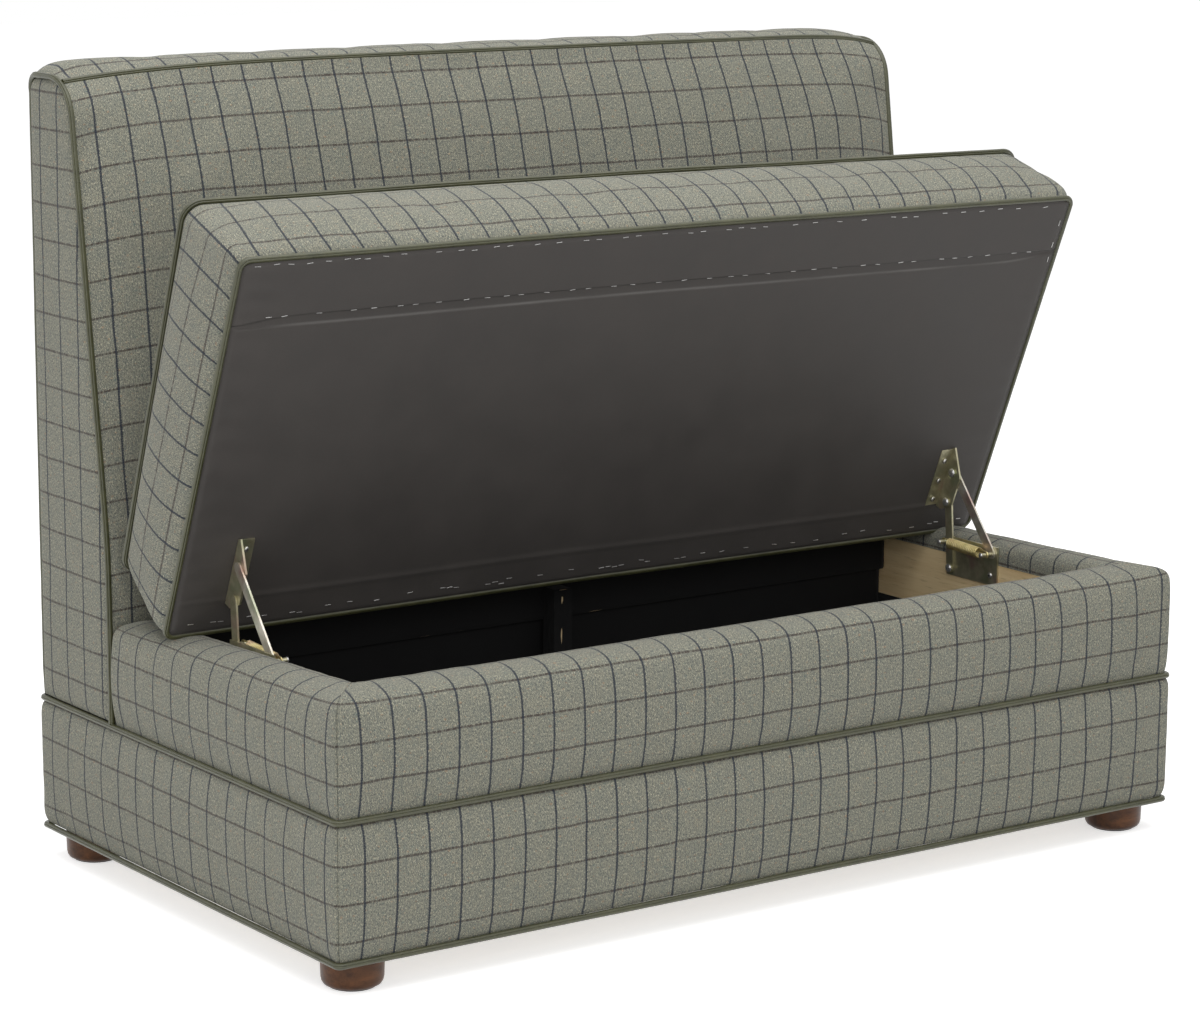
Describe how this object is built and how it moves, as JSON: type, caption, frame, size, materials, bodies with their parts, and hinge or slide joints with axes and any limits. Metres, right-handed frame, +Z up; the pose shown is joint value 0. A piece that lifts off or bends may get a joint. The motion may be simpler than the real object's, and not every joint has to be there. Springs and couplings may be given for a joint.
{
  "type": "storage banquette",
  "caption": "Upholstered storage banquette: padded box on short round feet, raked high back, and a sprung seat cushion that lifts on arm hinges off a lined compartment.",
  "frame": {"origin": "floor level under the middle of the bench", "axes": "+X to the right seen from the front, -Y towards the front, +Z up"},
  "size_m": [1.225, 0.6966, 0.9655],
  "materials": {
    "check_tweed": "matte woven",
    "olive_leather": "satin",
    "poplar": "bare sawn",
    "mahogany_stain": "satin lacquer",
    "black_cloth": "matte",
    "charcoal_cloth": "matte non-woven",
    "yellow_zinc_steel": "zinc plated"
  },
  "bodies": {
    "frame": {"back_front_pad": "check_tweed", "back_gable_left": "poplar", "back_gable_right": "poplar", "back_piping_left": "olive_leather", "back_piping_right": "olive_leather", "back_piping_top": "olive_leather", "back_rail_bottom": "poplar", "back_rail_middle": "poplar", "back_rail_top": "poplar", "back_rear_panel": "check_tweed", "back_side_panel_left": "check_tweed", "back_side_panel_right": "check_tweed", "back_stile_centre": "poplar", "back_top_pad": "check_tweed", "base_band_front": "check_tweed", "base_band_left": "check_tweed", "base_band_rear": "check_tweed", "base_band_right": "check_tweed", "base_board_front": "poplar", "base_board_left": "poplar", "base_board_rear": "poplar", "base_board_right": "poplar", "base_piping_lower": "olive_leather", "base_piping_upper": "olive_leather", "centre_post": "poplar", "compartment_liner": "black_cloth", "compartment_rear_panel": "poplar", "floor_panel": "poplar", "foot_front_left": "mahogany_stain", "foot_front_right": "mahogany_stain", "foot_rear_left": "mahogany_stain", "foot_rear_right": "mahogany_stain", "hinge_plate_left": "yellow_zinc_steel", "hinge_plate_right": "yellow_zinc_steel", "hinge_spring_left": "yellow_zinc_steel", "hinge_spring_right": "yellow_zinc_steel", "seat_box_cover_front": "check_tweed", "seat_box_cover_left": "check_tweed", "seat_box_cover_right": "check_tweed", "seat_rail_front": "poplar", "seat_rail_left": "poplar", "seat_rail_rear": "poplar", "seat_rail_right": "poplar"},
    "rear_arms": {"hinge_rear_arm_left": "yellow_zinc_steel", "hinge_rear_arm_right": "yellow_zinc_steel"},
    "front_arms": {"hinge_front_arm_left": "yellow_zinc_steel", "hinge_front_arm_right": "yellow_zinc_steel"},
    "lid": {"lid_bracket_left": "yellow_zinc_steel", "lid_bracket_right": "yellow_zinc_steel", "lid_deck": "poplar", "lid_dust_cover": "charcoal_cloth", "lid_piping_lower": "olive_leather", "lid_piping_upper": "olive_leather", "lid_rail_front": "poplar", "lid_rail_left": "poplar", "lid_rail_rear": "poplar", "lid_rail_right": "poplar", "lid_slat_centre": "poplar", "seat_cushion": "check_tweed"}
  },
  "joints": [
    {"name": "rear_arm_swing", "type": "hinge", "parent": "frame", "child": "rear_arms", "pos_m": [0, -0.0065, 0.2854], "axis": [-1, 0, 0], "range_deg": [0, 66.8], "stiffness_Nm_per_rad": 10, "springref_deg": -28.65, "deforming": ["hinge_spring_left", "hinge_spring_right"]},
    {"name": "lid_tilt", "type": "hinge", "parent": "rear_arms", "child": "lid", "pos_m": [0, -0.00057, 0.37284], "axis": [1, 0, 0], "range_deg": [0, 134.4]},
    {"name": "front_arm_swing", "type": "hinge", "parent": "frame", "child": "front_arms", "pos_m": [0, -0.0869, 0.3175], "axis": [-1, 0, 0], "range_deg": [0, 50.74]}
  ],
  "couplings": [
    {"joint": "lid_tilt", "follows": "rear_arm_swing", "ratio": 2.012},
    {"joint": "front_arm_swing", "follows": "rear_arm_swing", "ratio": 0.75958}
  ]
}
